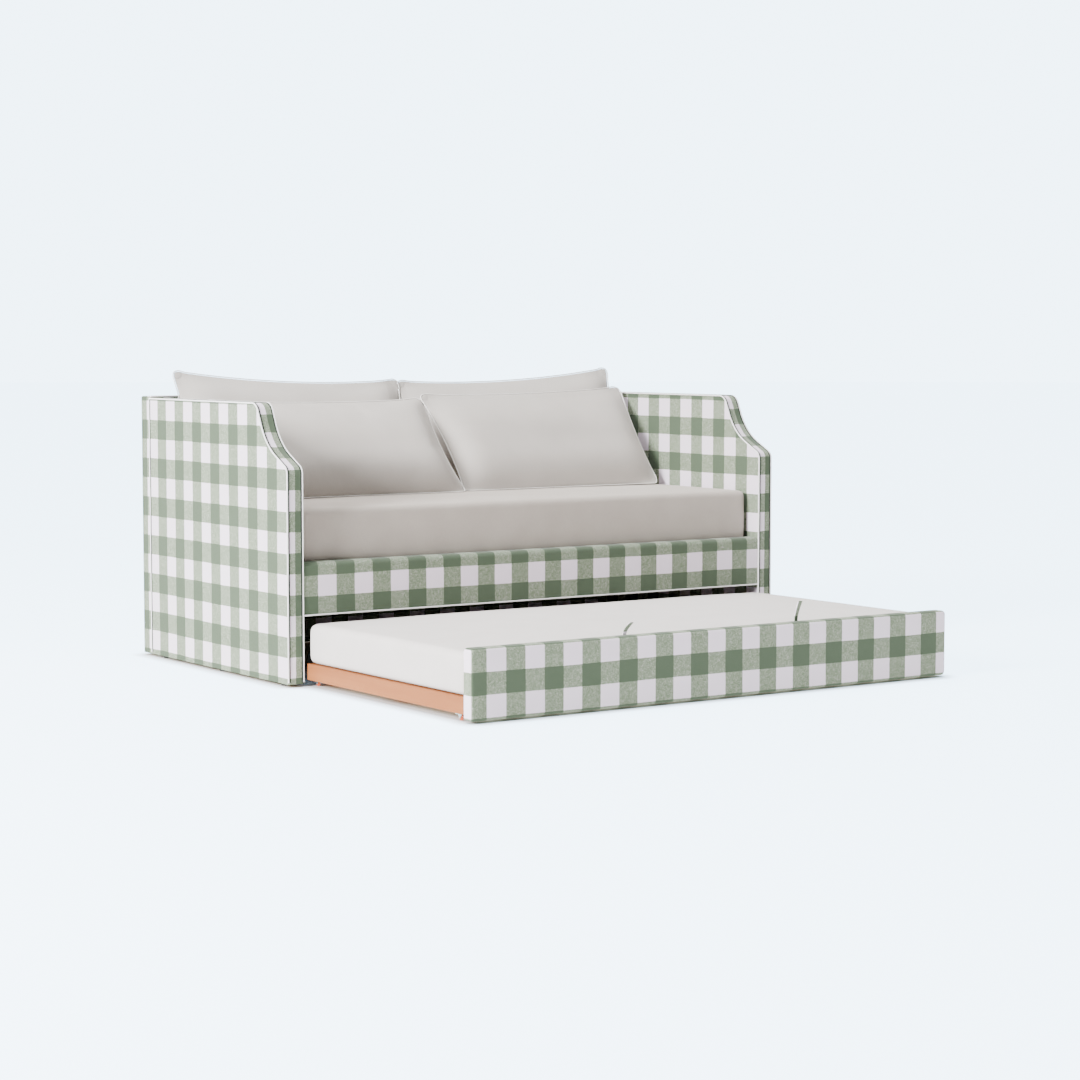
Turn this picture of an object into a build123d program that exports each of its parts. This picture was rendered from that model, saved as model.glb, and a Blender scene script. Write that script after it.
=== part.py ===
from build123d import *
import os
from math import cos, radians, sin, sqrt

os.makedirs("parts", exist_ok=True)

# A trundle daybed, in millimetres. X runs along the bed, Y from its front to its back and Z up from
# the floor. The trundle is drawn out, and the origin lies on the floor under the middle of the whole.

# Standard twin mattresses, which set the size of the bed
mattress_length = 1905
mattress_width = 965
mattress_height = 202
trundle_mattress_height = 150
soft_gap = 0.3

# Outside of the bed
mattress_end_gap = 12.5
mattress_front_gap = 3
mattress_back_gap = 1
arm_thickness = 57
arm_height = 933
back_thickness = 78
back_rise = 8
glide_height = 10
trundle_tuck = 4

# Upholstery, from the skin inwards
cover_thickness = 2
padding_thickness = 9
skin_board = 3
piping_radius = 2.6
piping_gap = 0.1

# Front rail of the bed
rail_setback = 2
rail_depth = 53
rail_height = 175
rail_board_thickness = 28
rail_edge_padding = 10
rail_top_rounding = 16
rail_end_rounding = 5
rail_clearance = 9

# Swoop at the front of each arm: the corners of its tangent lines, then the radii between them
shoulder_drop = 211
knee_setback = 147
knee_drop = 136
crest_setback = 210
shoulder_radius = 30
knee_radius = 215
crest_radius = 43

# Timber frames inside the arms and the back
post_width = 90
frame_rail_width = 90
middle_rail_margin = 7
middle_rail_width = 120
swoop_block_setback = 250
swoop_block_drop = 313
back_corner_radius = 18
back_front_padding = 20
back_rear_padding = 10
back_bay_count = 3

# Deck of the bed
deck_drop = 26
slat_thickness = 20
slat_width = 68
slat_edge = 3
slat_count = 14
slat_end_margin = 12
slat_length_gap = 1
ledger_width = 28
ledger_height = 30
beam_width = 34
beam_height = 60

# Steel corner brackets and their bolts
hole_clearance = 0.25
bracket_leg = 48
bracket_height = 70
bracket_thickness = 3
bracket_rise = 5
bolt_radius = 4
bolt_head_radius = 7
bolt_head_height = 4.5
bolt_length = 44
rail_bolt_length = 26
bolt_spacing = 36

# Floor glides
glide_radius = 16
glide_edge = 1.5
glide_margin = 70

# Trundle front panel
panel_end_gap = 5
panel_floor_gap = 6
panel_depth = 40
panel_height = 221
panel_corner_radius = 14
panel_rounding = 10
panel_board_thickness = 20
panel_edge_padding = 8

# Trundle frame
trundle_front_gap = 5
trundle_rear_gap = 6
trundle_rail_inset = 1.5
trundle_rail_thickness = 32
trundle_rail_height = 54
trundle_rail_edge = 3
trundle_slat_thickness = 14
trundle_slat_width = 70
trundle_slat_count = 13
trundle_slat_gap = 1.5
trundle_beam_width = 34
trundle_slat_margin = 22
block_leg = 60
block_height = 34
panel_bolt_length = 46
panel_bolt_count = 4
panel_bolt_margin = 120

# Casters
wheel_radius = 9.5
wheel_width = 8
wheel_edge = 1.6
wheel_hub_radius = 4.2
wheel_rim_thickness = 2.6
wheel_recess = 1
wheel_top_gap = 1
wheel_side_gap = 0.7
axle_radius = 2
axle_clearance = 0.05
axle_head_radius = 3.2
axle_head_height = 1
caster_plate = 2
caster_plate_length = 34
caster_plate_width = 26
caster_plate_corner = 3
fork_top_length = 20
fork_wall = 1.5
fork_foot_radius = 3.6
caster_behind_panel = 52
rear_caster_inset = 34
caster_screw_radius = 1.6
caster_screw_head_radius = 2.8
caster_screw_head = 1.2
caster_screw_length = 14
caster_screw_spacing = 25
caster_screw_spread = 17

# Mattresses
mattress_corner_radius = 40
mattress_edge_radius = 14

# Pillows
pillow_height = 470
pillow_thickness = 130
front_pillow_ease = 53
back_pillow_ease = 41
pillow_top_draw = 20
pillow_end_draw = 11
pillow_foot_draw = 4
pillow_lift_shares = (0, 0.30, 0.56, 0.77, 0.92, 1)
pillow_inset_shares = (0, 0.08, 0.19, 0.34, 0.54, 0.80)
pillow_crown_share = 0.5

# Places of the pillows: back left, back right, front left, front right
pillow_sides = (-1, 1, -1, 1)
pillow_shifts = (12.5, -6.5, 19.5, -12.5)
pillow_setbacks = (16, 47, 204, 194)
pillow_rises = (419, 415, 329, 356)
pillow_turn_angles = (0, -3.9, 0, 0.5)
pillow_lean_angles = (22, 22, 43, 38.5)
pillow_roll_angles = (-2.2, 2, 0, 0.5)

# Pull straps on the trundle panel
strap_width = 12
strap_tip_radius = 4
strap_thickness = 3
strap_tail = 90
strap_places = (-364, 331)
strap_rises = (36, 64)
strap_leans = (28, 19)
strap_bend_shares = (0, 0.28)
strap_bend_radius = 20

# Places worked out from the sizes
inner_x = mattress_length / 2 + mattress_end_gap
outer_x = inner_x + arm_thickness
arm_depth = rail_setback + rail_depth + mattress_front_gap + mattress_width + mattress_back_gap
bed_depth = arm_depth + back_thickness
back_height = arm_height + back_rise
trundle_frame_depth = trundle_front_gap + mattress_width + trundle_rear_gap
pull_out = panel_depth + trundle_frame_depth - trundle_tuck
front_y = (pull_out - bed_depth) / 2
back_face_y = front_y + arm_depth
rear_y = back_face_y + back_thickness
rail_face_y = front_y + rail_setback
rail_rear_y = rail_face_y + rail_depth
rail_bottom = panel_floor_gap + panel_height + rail_clearance
rail_top = rail_bottom + rail_height
board_rise = cover_thickness + rail_edge_padding
deck_height = rail_top - deck_drop
slat_bottom = deck_height - slat_thickness
beam_bottom = slat_bottom - beam_height
middle_rail_bottom = beam_bottom - bracket_leg - middle_rail_margin
mattress_front_y = rail_rear_y + mattress_front_gap
mattress_bottom = deck_height + soft_gap
mattress_top = mattress_bottom + mattress_height
panel_face_y = front_y - pull_out
panel_rear_y = panel_face_y + panel_depth
panel_x = inner_x - panel_end_gap
panel_top = panel_floor_gap + panel_height
trundle_x = mattress_length / 2 - trundle_rail_inset
trundle_inner_x = trundle_x - trundle_rail_thickness
trundle_rear_y = panel_rear_y + trundle_frame_depth
trundle_floor_gap = 2 * wheel_radius + wheel_top_gap + caster_plate
trundle_deck = trundle_floor_gap + trundle_rail_height
cleat_height = trundle_rail_height - trundle_slat_thickness

# The piping lies in the rounded edge of the cover, with its centre on the edge that was rounded
cover_rounding = (piping_radius + piping_gap) / (sqrt(2) - 1)
padding_rounding = cover_rounding - cover_thickness
frame_inset = cover_thickness + padding_thickness


def write(piece, node):
    """Label one finished piece and write it under its own name."""
    piece.part.label = node
    export_step(piece.part, f"parts/{node}.step")


def write_pair(piece, node):
    """Write a piece of the right arm under its own name, and its mirror image for the left arm."""
    write(piece, f"right_{node}")
    with BuildPart() as image:
        mirror(piece.part, about=Plane.YZ)
    write(image, f"left_{node}")


def block(low, high):
    """A plain block between two corners."""
    with BuildPart() as piece:
        with Locations(Vector(*low)):
            Box(*(Vector(*high) - Vector(*low)), align=(Align.MIN, Align.MIN, Align.MIN))
    return piece.part


# Arms
def swoop_points(foot, rear):
    """Tangent corners of an arm's edge, from the foot of its front to the rear of its top."""
    return (
        (front_y, foot),
        (front_y, arm_height - shoulder_drop),
        (front_y + knee_setback, arm_height - knee_drop),
        (front_y + crest_setback, arm_height),
        (rear, arm_height),
    )


swoop_radii = (shoulder_radius, knee_radius, crest_radius)


def arm_envelope(inset, rounding=0):
    """The right arm's outside, drawn in on every side but its foot."""
    half = arm_thickness / 2 - inset
    foot = glide_height - inset
    with BuildPart() as envelope:
        with BuildSketch(Plane.YZ.offset(inner_x + arm_thickness / 2)):
            with BuildLine():
                FilletPolyline(*swoop_points(foot, back_face_y), radius=swoop_radii)
                Polyline((back_face_y, arm_height), (back_face_y, foot), (front_y, foot))
            make_face()
            if inset:
                offset(amount=-inset, kind=Kind.INTERSECTION, mode=Mode.REPLACE)
        extrude(amount=half, both=True)
        if rounding:
            walls = envelope.faces().filter_by(Axis.X)
            rims = walls.edges().filter_by(lambda edge: edge.center().Z > foot + inset + rounding)
            rear_rims = rims.filter_by(Axis.Z).sort_by(Axis.Y)[-2:]
            inner_rear = rear_rims.sort_by(Axis.X)[0]
            fillet([edge for edge in rims if edge is not inner_rear], rounding)
    return envelope.part


low_rail_top = glide_height + frame_rail_width
middle_rail_top = middle_rail_bottom + middle_rail_width


def arm_windows():
    """The spaces between the timbers of an arm's frame, as boxes through the arm."""
    low_y = front_y + post_width
    high_y = back_face_y - post_width
    top_rail_bottom = arm_height - frame_inset - frame_rail_width
    return (
        block((inner_x, low_y, low_rail_top), (outer_x, high_y, middle_rail_bottom)),
        block((inner_x, low_y, middle_rail_top), (outer_x, high_y, arm_height - swoop_block_drop)),
        block((inner_x, front_y + swoop_block_setback, middle_rail_top), (outer_x, high_y, top_rail_bottom)),
    )


ledger_bottom = slat_bottom - ledger_height
deck_middle_y = (rail_rear_y + back_face_y) / 2
bracket_bottom = rail_bottom + board_rise + bracket_rise
bracket_middle = bracket_bottom + bracket_height / 2
bracket_reach = bracket_leg * 2 / 3
hanger_bolt_z = beam_bottom - bracket_leg / 2
corner_bolt_points = [
    (y, bracket_middle + half_step * bolt_spacing / 2)
    for y in (rail_rear_y + bracket_reach, back_face_y - bracket_reach)
    for half_step in (-1, 1)
]
cross_bolt_points = [
    (end * (inner_x - bracket_reach), bracket_middle + half_step * bolt_spacing / 2)
    for end in (-1, 1)
    for half_step in (-1, 1)
]
hanger_bolt_points = [(deck_middle_y + half_step * bolt_spacing / 2, hanger_bolt_z) for half_step in (-1, 1)]
arm_bolt_points = corner_bolt_points + hanger_bolt_points


def bolt_holes(plane, points, depth):
    """The holes of one group of bolts, from a plane to a depth along its normal."""
    with BuildPart() as holes:
        with BuildSketch(plane):
            with Locations(*points):
                Circle(bolt_radius + hole_clearance)
        extrude(amount=depth)
    return holes.part


def bolts(plane, points, outward, length):
    """Hexagon bolts whose heads stand on a plane, on the side that outward gives."""
    with BuildPart() as group:
        with BuildSketch(plane):
            with Locations(*points):
                RegularPolygon(bolt_head_radius, 6)
        extrude(amount=outward * bolt_head_height)
        with BuildSketch(plane):
            with Locations(*points):
                Circle(bolt_radius)
        extrude(amount=-outward * length)
    return group.part


bolt_reach = bolt_length - bracket_thickness
arm_plane = Plane.YZ.offset(inner_x)
arm_holes = bolt_holes(arm_plane, arm_bolt_points, bolt_reach)
inner_board_x = inner_x + frame_inset
outer_board_x = outer_x - frame_inset - skin_board
arm_core = arm_envelope(frame_inset)

with BuildPart() as arm_frame:
    add(arm_core)
    for low_x in (inner_board_x, outer_board_x):
        low = (low_x, front_y, 0)
        add(block(low, (low_x + skin_board, back_face_y, arm_height)), mode=Mode.SUBTRACT)
    for window in arm_windows():
        add(window, mode=Mode.SUBTRACT)
    add(arm_holes, mode=Mode.SUBTRACT)
write_pair(arm_frame, "arm_frame")

with BuildPart() as arm_boards:
    add(arm_core)
    low = (inner_board_x + skin_board, front_y, 0)
    add(block(low, (outer_board_x, back_face_y, arm_height)), mode=Mode.SUBTRACT)
    add(arm_holes, mode=Mode.SUBTRACT)
write_pair(arm_boards, "arm_boards")

arm_skin = arm_envelope(cover_thickness, padding_rounding)
with BuildPart() as arm_padding:
    add(arm_skin)
    add(arm_core, mode=Mode.SUBTRACT)
    add(arm_holes, mode=Mode.SUBTRACT)
write_pair(arm_padding, "arm_padding")

with BuildPart() as arm_cover:
    add(arm_envelope(0, cover_rounding))
    add(arm_skin, mode=Mode.SUBTRACT)
    add(arm_holes, mode=Mode.SUBTRACT)
write_pair(arm_cover, "arm_cover")

# Piping along both edges of an arm, and down the seam at its outer rear
piping_foot = glide_height + cover_rounding
seam_y = back_face_y - piping_gap
with BuildPart() as arm_piping:
    for edge_x in (inner_x, outer_x):
        with BuildLine(Plane.YZ.offset(edge_x)) as route:
            FilletPolyline(*swoop_points(piping_foot, seam_y), radius=swoop_radii)
        with BuildSketch(Plane((edge_x, front_y, piping_foot))):
            Circle(piping_radius)
        sweep(path=route.line)
    with BuildSketch(Plane((outer_x, seam_y, piping_foot))):
        Circle(piping_radius)
    extrude(amount=arm_height - piping_radius - piping_gap - piping_foot)
write_pair(arm_piping, "arm_piping")


# Back panel
def back_envelope(inset, front_inset, rear_inset, rounding=0):
    """The back panel's outside, drawn in on every side but its foot."""
    depth = back_thickness - front_inset - rear_inset
    with BuildPart() as envelope:
        with BuildSketch(Plane.XY.offset(glide_height)) as outline:
            with Locations((0, back_face_y + front_inset)):
                Rectangle(2 * (outer_x - inset), depth, align=(Align.CENTER, Align.MIN))
            if rounding:
                fillet(outline.vertices().group_by(Axis.Y)[-1], back_corner_radius - inset)
                fillet(outline.vertices().group_by(Axis.Y)[0], rounding)
        extrude(amount=back_height - inset - glide_height)
        if rounding:
            fillet(envelope.faces().sort_by(Axis.Z)[-1].edges(), rounding)
    return envelope.part


back_frame_front = cover_thickness + back_front_padding
back_frame_rear = cover_thickness + back_rear_padding
back_core = back_envelope(frame_inset, back_frame_front, back_frame_rear)
back_skin = back_envelope(cover_thickness, cover_thickness, cover_thickness, padding_rounding)
timber_front = back_face_y + back_frame_front + skin_board
timber_rear = rear_y - back_frame_rear - skin_board
bay_pitch = (2 * (outer_x - frame_inset) - post_width) / back_bay_count
back_plane = Plane.XZ.offset(-back_face_y)
back_holes = bolt_holes(back_plane, cross_bolt_points, -bolt_reach)

with BuildPart() as back_frame:
    add(back_core)
    add(block((-outer_x, back_face_y, 0), (outer_x, timber_front, back_height)), mode=Mode.SUBTRACT)
    add(block((-outer_x, timber_rear, 0), (outer_x, rear_y, back_height)), mode=Mode.SUBTRACT)
    top_rail_bottom = back_height - frame_inset - frame_rail_width
    for low_z, high_z in ((low_rail_top, middle_rail_bottom), (middle_rail_top, top_rail_bottom)):
        with Locations((0, (timber_front + timber_rear) / 2, (low_z + high_z) / 2)):
            with GridLocations(bay_pitch, bay_pitch, back_bay_count, 1):
                Box(bay_pitch - post_width, back_thickness, high_z - low_z, mode=Mode.SUBTRACT)
    add(back_holes, mode=Mode.SUBTRACT)
write(back_frame, "back_frame")

with BuildPart() as back_boards:
    add(back_core)
    add(block((-outer_x, timber_front, 0), (outer_x, timber_rear, back_height)), mode=Mode.SUBTRACT)
    add(back_holes, mode=Mode.SUBTRACT)
write(back_boards, "back_boards")

with BuildPart() as back_padding:
    add(back_skin)
    add(back_core, mode=Mode.SUBTRACT)
    add(back_holes, mode=Mode.SUBTRACT)
write(back_padding, "back_padding")

with BuildPart() as back_cover:
    add(back_envelope(0, 0, 0, cover_rounding))
    add(back_skin, mode=Mode.SUBTRACT)
    add(back_holes, mode=Mode.SUBTRACT)
write(back_cover, "back_cover")

with BuildPart() as back_piping:
    with BuildSketch(Plane.YZ):
        with Locations((back_face_y, back_height)):
            Circle(piping_radius)
    extrude(amount=outer_x - cover_rounding, both=True)
write(back_piping, "back_piping")


# Front rail
def rail_envelope(inset):
    """The front rail's outside, drawn in on every side but its rear."""
    with BuildPart() as envelope:
        with BuildSketch(Plane.YZ) as outline:
            with Locations((rail_rear_y, rail_bottom + inset)):
                Rectangle(rail_depth - inset, rail_height - 2 * inset, align=(Align.MAX, Align.MIN))
            front_corners = outline.vertices().group_by(Axis.X)[0].sort_by(Axis.Y)
            fillet(front_corners[0], cover_rounding - inset)
            fillet(outline.vertices().sort_by(Axis.Y)[-2:].sort_by(Axis.X)[0], rail_top_rounding - inset)
        extrude(amount=inner_x - inset, both=True)
        ends = envelope.faces().filter_by(Axis.X)
        fillet(ends.edges().filter_by(Axis.Z).group_by(Axis.Y)[0], rail_end_rounding - inset)
    return envelope.part


rail_board_body = block(
    (cover_thickness - inner_x, rail_rear_y - rail_board_thickness, rail_bottom + board_rise),
    (inner_x - cover_thickness, rail_rear_y, rail_top - board_rise),
)
rail_plane = Plane.XZ.offset(-rail_rear_y)

with BuildPart() as front_rail_board:
    add(rail_board_body)
    rail_bolt_reach = rail_bolt_length - bracket_thickness
    add(bolt_holes(rail_plane, cross_bolt_points, rail_bolt_reach), mode=Mode.SUBTRACT)
write(front_rail_board, "front_rail_board")

with BuildPart() as front_rail_padding:
    add(rail_envelope(cover_thickness))
    add(rail_board_body, mode=Mode.SUBTRACT)
write(front_rail_padding, "front_rail_padding")

with BuildPart() as front_rail_cover:
    add(rail_envelope(0))
    add(rail_envelope(cover_thickness), mode=Mode.SUBTRACT)
write(front_rail_cover, "front_rail_cover")

with BuildPart() as front_rail_piping:
    with BuildSketch(Plane.YZ):
        with Locations((rail_face_y, rail_bottom)):
            Circle(piping_radius)
    extrude(amount=inner_x - piping_radius - soft_gap, both=True)
write(front_rail_piping, "front_rail_piping")

# Deck: ledgers along the rail and the back, a beam under the middle and slats across
with BuildPart() as front_ledger:
    low = (-inner_x + bracket_leg, rail_rear_y, ledger_bottom)
    add(block(low, (inner_x - bracket_leg, rail_rear_y + ledger_width, slat_bottom)))
write(front_ledger, "front_ledger")

with BuildPart() as rear_ledger:
    low = (-inner_x + bracket_leg, back_face_y - ledger_width, ledger_bottom)
    add(block(low, (inner_x - bracket_leg, back_face_y, slat_bottom)))
write(rear_ledger, "rear_ledger")

with BuildPart() as deck_beam:
    low = (-inner_x, deck_middle_y - beam_width / 2, beam_bottom)
    add(block(low, (inner_x, deck_middle_y + beam_width / 2, slat_bottom)))
write(deck_beam, "deck_beam")

slat_pitch = (2 * (inner_x - slat_end_margin) - slat_width) / (slat_count - 1)
slat_length = back_face_y - rail_rear_y - 2 * slat_length_gap
with BuildPart() as bed_slats:
    with Locations((0, deck_middle_y, slat_bottom)):
        with GridLocations(slat_pitch, slat_pitch, slat_count, 1):
            Box(slat_width, slat_length, slat_thickness, align=(Align.CENTER, Align.CENTER, Align.MIN))
    fillet(bed_slats.edges().filter_by(Axis.Y).group_by(Axis.Z)[-1], slat_edge)
write(bed_slats, "bed_slats")

# Steel brackets in the four corners and under the ends of the beam
with BuildPart() as steel_brackets:
    for side in (-1, 1):
        for corner_y, inward in ((rail_rear_y, 1), (back_face_y, -1)):
            arm_side = side * inner_x
            leg_end = arm_side - side * bracket_leg
            with BuildSketch(Plane.XY.offset(bracket_bottom)):
                with BuildLine():
                    Polyline(
                        (arm_side, corner_y),
                        (arm_side, corner_y + inward * bracket_leg),
                        (arm_side - side * bracket_thickness, corner_y + inward * bracket_leg),
                        (arm_side - side * bracket_thickness, corner_y + inward * bracket_thickness),
                        (leg_end, corner_y + inward * bracket_thickness),
                        (leg_end, corner_y),
                        close=True,
                    )
                make_face()
            extrude(amount=bracket_height)
        with BuildSketch(Plane.XZ.offset(-deck_middle_y)):
            with BuildLine():
                Polyline(
                    (side * inner_x, beam_bottom),
                    (side * inner_x, beam_bottom - bracket_leg),
                    (side * (inner_x - bracket_thickness), beam_bottom - bracket_leg),
                    (side * (inner_x - bracket_thickness), beam_bottom - bracket_thickness),
                    (side * (inner_x - bracket_leg), beam_bottom - bracket_thickness),
                    (side * (inner_x - bracket_leg), beam_bottom),
                    close=True,
                )
            make_face()
        extrude(amount=bracket_height / 2, both=True)
    add(bolt_holes(arm_plane, arm_bolt_points, -bracket_thickness), mode=Mode.SUBTRACT)
    add(bolt_holes(Plane.YZ.offset(-inner_x), arm_bolt_points, bracket_thickness), mode=Mode.SUBTRACT)
    add(bolt_holes(back_plane, cross_bolt_points, bracket_thickness), mode=Mode.SUBTRACT)
    add(bolt_holes(rail_plane, cross_bolt_points, -bracket_thickness), mode=Mode.SUBTRACT)
write(steel_brackets, "steel_brackets")

with BuildPart() as bracket_bolts:
    for side in (-1, 1):
        head_plane = Plane.YZ.offset(side * (inner_x - bracket_thickness))
        add(bolts(head_plane, arm_bolt_points, -side, bolt_length))
    add(bolts(back_plane.offset(bracket_thickness), cross_bolt_points, 1, bolt_length))
    add(bolts(rail_plane.offset(-bracket_thickness), cross_bolt_points, -1, rail_bolt_length))
write(bracket_bolts, "bracket_bolts")

# Glides under the timber of the arms and the back
with BuildPart() as floor_glides:
    arm_middle_x = inner_x + arm_thickness / 2
    glide_reach = arm_depth / 2 - glide_margin
    with Locations((0, front_y + arm_depth / 2)):
        with GridLocations(2 * arm_middle_x, glide_reach, 2, 3):
            Cylinder(glide_radius, glide_height, align=(Align.CENTER, Align.CENTER, Align.MIN))
    with Locations((0, back_face_y + back_thickness / 2)):
        with GridLocations(bay_pitch, bay_pitch, back_bay_count - 1, 1):
            Cylinder(glide_radius, glide_height, align=(Align.CENTER, Align.CENTER, Align.MIN))
    chamfer(floor_glides.faces().filter_by(Axis.Z).group_by(Axis.Z)[0].edges(), glide_edge)
write(floor_glides, "floor_glides")


# Trundle front panel
def panel_envelope(inset):
    """The trundle panel's outside, drawn in on every side but its rear."""
    with BuildPart() as envelope:
        with BuildSketch(Plane.XZ.offset(-panel_rear_y)):
            with Locations((0, panel_floor_gap + panel_height / 2)):
                width = 2 * (panel_x - inset)
                RectangleRounded(width, panel_height - 2 * inset, panel_corner_radius - inset)
        extrude(amount=panel_depth - inset)
        fillet(envelope.faces().sort_by(Axis.Y)[0].edges(), panel_rounding - inset)
    return envelope.part


def spread(count, reach):
    """Places of a row of like things, evenly spread about the middle."""
    return [reach * (2 * step / (count - 1) - 1) for step in range(count)]


panel_bolt_z = trundle_floor_gap + cleat_height / 2
panel_bolt_places = spread(panel_bolt_count, trundle_inner_x - panel_bolt_margin)
panel_bolt_points = [(x, panel_bolt_z) for x in panel_bolt_places]
panel_plane = Plane.XZ.offset(-panel_rear_y)
cleat_plane = panel_plane.offset(-trundle_rail_thickness)
panel_board_rise = cover_thickness + panel_edge_padding
panel_board_body = block(
    (panel_board_rise - panel_x, panel_rear_y - panel_board_thickness, panel_floor_gap + panel_board_rise),
    (panel_x - panel_board_rise, panel_rear_y, panel_top - panel_board_rise),
)
panel_bolt_depth = panel_bolt_length - trundle_rail_thickness

with BuildPart() as trundle_panel_board:
    add(panel_board_body)
    add(bolt_holes(panel_plane, panel_bolt_points, panel_bolt_depth), mode=Mode.SUBTRACT)
write(trundle_panel_board, "trundle_panel_board")

with BuildPart() as trundle_panel_padding:
    add(panel_envelope(cover_thickness))
    add(panel_board_body, mode=Mode.SUBTRACT)
write(trundle_panel_padding, "trundle_panel_padding")

with BuildPart() as trundle_panel_cover:
    add(panel_envelope(0))
    add(panel_envelope(cover_thickness), mode=Mode.SUBTRACT)
write(trundle_panel_cover, "trundle_panel_cover")

# Trundle frame: side rails, a cleat behind the panel, a rear rail, a beam, slats and corner blocks
cleat_top = trundle_floor_gap + cleat_height
cleat_rear_y = panel_rear_y + trundle_rail_thickness
rear_rail_y = trundle_rear_y - trundle_rail_thickness
trundle_middle_y = (cleat_rear_y + rear_rail_y) / 2

fork_half = wheel_width / 2 + wheel_side_gap
side_caster_x = trundle_x - trundle_rail_thickness / 2
front_caster_y = panel_rear_y + caster_behind_panel
rear_caster_y = rear_rail_y + trundle_rail_thickness / 2
rear_caster_x = trundle_x - rear_caster_inset
caster_places = {
    "front_left": (-side_caster_x, front_caster_y),
    "front_right": (side_caster_x, front_caster_y),
    "rear_left": (-rear_caster_x, rear_caster_y),
    "rear_right": (rear_caster_x, rear_caster_y),
}


def caster_columns(z, radius, height):
    """Upright round columns at the four screws of every caster."""
    with BuildPart() as columns:
        with BuildSketch(Plane.XY.offset(z)):
            with Locations(*caster_places.values()):
                with GridLocations(caster_screw_spread, caster_screw_spacing, 2, 2):
                    Circle(radius)
        extrude(amount=height)
    return columns.part


screw_hole_radius = caster_screw_radius + hole_clearance
screw_holes = caster_columns(trundle_floor_gap - caster_plate, screw_hole_radius, caster_screw_length)

for name, side in (("left", -1), ("right", 1)):
    with BuildPart() as side_rail:
        low_x = min(side * trundle_inner_x, side * trundle_x)
        low = (low_x, panel_rear_y, trundle_floor_gap)
        add(block(low, (low_x + trundle_rail_thickness, trundle_rear_y, trundle_deck)))
        outside = side_rail.faces().filter_by(Axis.X).sort_by(lambda face: abs(face.center().X))[-1]
        fillet(outside.edges().filter_by(lambda edge: edge.center().Y > panel_rear_y), trundle_rail_edge)
        add(screw_holes, mode=Mode.SUBTRACT)
    write(side_rail, f"trundle_{name}_rail")

with BuildPart() as trundle_front_cleat:
    low = (-trundle_inner_x, panel_rear_y, trundle_floor_gap)
    add(block(low, (trundle_inner_x, cleat_rear_y, cleat_top)))
    add(bolt_holes(panel_plane, panel_bolt_points, -trundle_rail_thickness), mode=Mode.SUBTRACT)
write(trundle_front_cleat, "trundle_front_cleat")

with BuildPart() as trundle_rear_rail:
    low = (-trundle_inner_x, rear_rail_y, trundle_floor_gap)
    add(block(low, (trundle_inner_x, trundle_rear_y, cleat_top)))
    add(screw_holes, mode=Mode.SUBTRACT)
write(trundle_rear_rail, "trundle_rear_rail")

with BuildPart() as trundle_beam:
    low = (-trundle_inner_x, trundle_middle_y - trundle_beam_width / 2, trundle_floor_gap)
    add(block(low, (trundle_inner_x, trundle_middle_y + trundle_beam_width / 2, cleat_top)))
write(trundle_beam, "trundle_beam")

with BuildPart() as trundle_slats:
    slat_reach = trundle_inner_x - trundle_slat_margin - trundle_slat_width / 2
    front_end = panel_rear_y + trundle_slat_gap
    for x in spread(trundle_slat_count, slat_reach):
        low = (x - trundle_slat_width / 2, front_end, cleat_top)
        add(block(low, (x + trundle_slat_width / 2, trundle_rear_y, trundle_deck)))
write(trundle_slats, "trundle_slats")

with BuildPart() as corner_blocks:
    for side in (-1, 1):
        for corner_y, inward in ((cleat_rear_y, 1), (rear_rail_y, -1)):
            with BuildSketch(Plane.XY.offset(cleat_top - block_height)):
                with BuildLine():
                    Polyline(
                        (side * trundle_inner_x, corner_y),
                        (side * (trundle_inner_x - block_leg), corner_y),
                        (side * trundle_inner_x, corner_y + inward * block_leg),
                        close=True,
                    )
                make_face()
            extrude(amount=block_height)
write(corner_blocks, "corner_blocks")

with BuildPart() as panel_bolts:
    add(bolts(cleat_plane, panel_bolt_points, -1, panel_bolt_length))
write(panel_bolts, "panel_bolts")

# Casters: a steel plate with two cheeks, an axle with two heads and a wheel that turns on it
for name, (caster_x, caster_y) in caster_places.items():
    hub = Plane((caster_x, caster_y, wheel_radius), x_dir=(0, 1, 0), z_dir=(1, 0, 0))

    with BuildPart() as fork:
        with BuildSketch(Plane((caster_x, caster_y, trundle_floor_gap))):
            RectangleRounded(caster_plate_width, caster_plate_length, caster_plate_corner)
        extrude(amount=-caster_plate)
        add(screw_holes, mode=Mode.SUBTRACT)
        for cheek in (fork_half, -fork_half - fork_wall):
            with BuildSketch(hub.offset(cheek)):
                Circle(fork_foot_radius)
                with BuildLine():
                    Polyline(
                        (-fork_foot_radius, 0),
                        (-fork_top_length / 2, trundle_floor_gap - wheel_radius - caster_plate),
                        (fork_top_length / 2, trundle_floor_gap - wheel_radius - caster_plate),
                        (fork_foot_radius, 0),
                        close=True,
                    )
                make_face()
                Circle(axle_radius + axle_clearance, mode=Mode.SUBTRACT)
            extrude(amount=fork_wall)
    write(fork, f"{name}_caster_fork")

    with BuildPart() as wheel:
        radial = Plane((caster_x, caster_y, wheel_radius), x_dir=(1, 0, 0), z_dir=(0, -1, 0))
        with BuildSketch(radial) as half_section:
            with Locations((0, wheel_radius / 2)):
                Rectangle(wheel_width, wheel_radius)
            chamfer(half_section.vertices().group_by(Axis.Y)[-1], wheel_edge)
            with Locations((0, (wheel_hub_radius + wheel_radius - wheel_rim_thickness) / 2)):
                with GridLocations(wheel_width, wheel_width, 2, 1):
                    recess_length = wheel_radius - wheel_rim_thickness - wheel_hub_radius
                    Rectangle(2 * wheel_recess, recess_length, mode=Mode.SUBTRACT)
            with Locations((0, (axle_radius + axle_clearance) / 2)):
                Rectangle(wheel_width, axle_radius + axle_clearance, mode=Mode.SUBTRACT)
        revolve(axis=Axis((caster_x, caster_y, wheel_radius), (1, 0, 0)))
    write(wheel, f"{name}_wheel")

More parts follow.
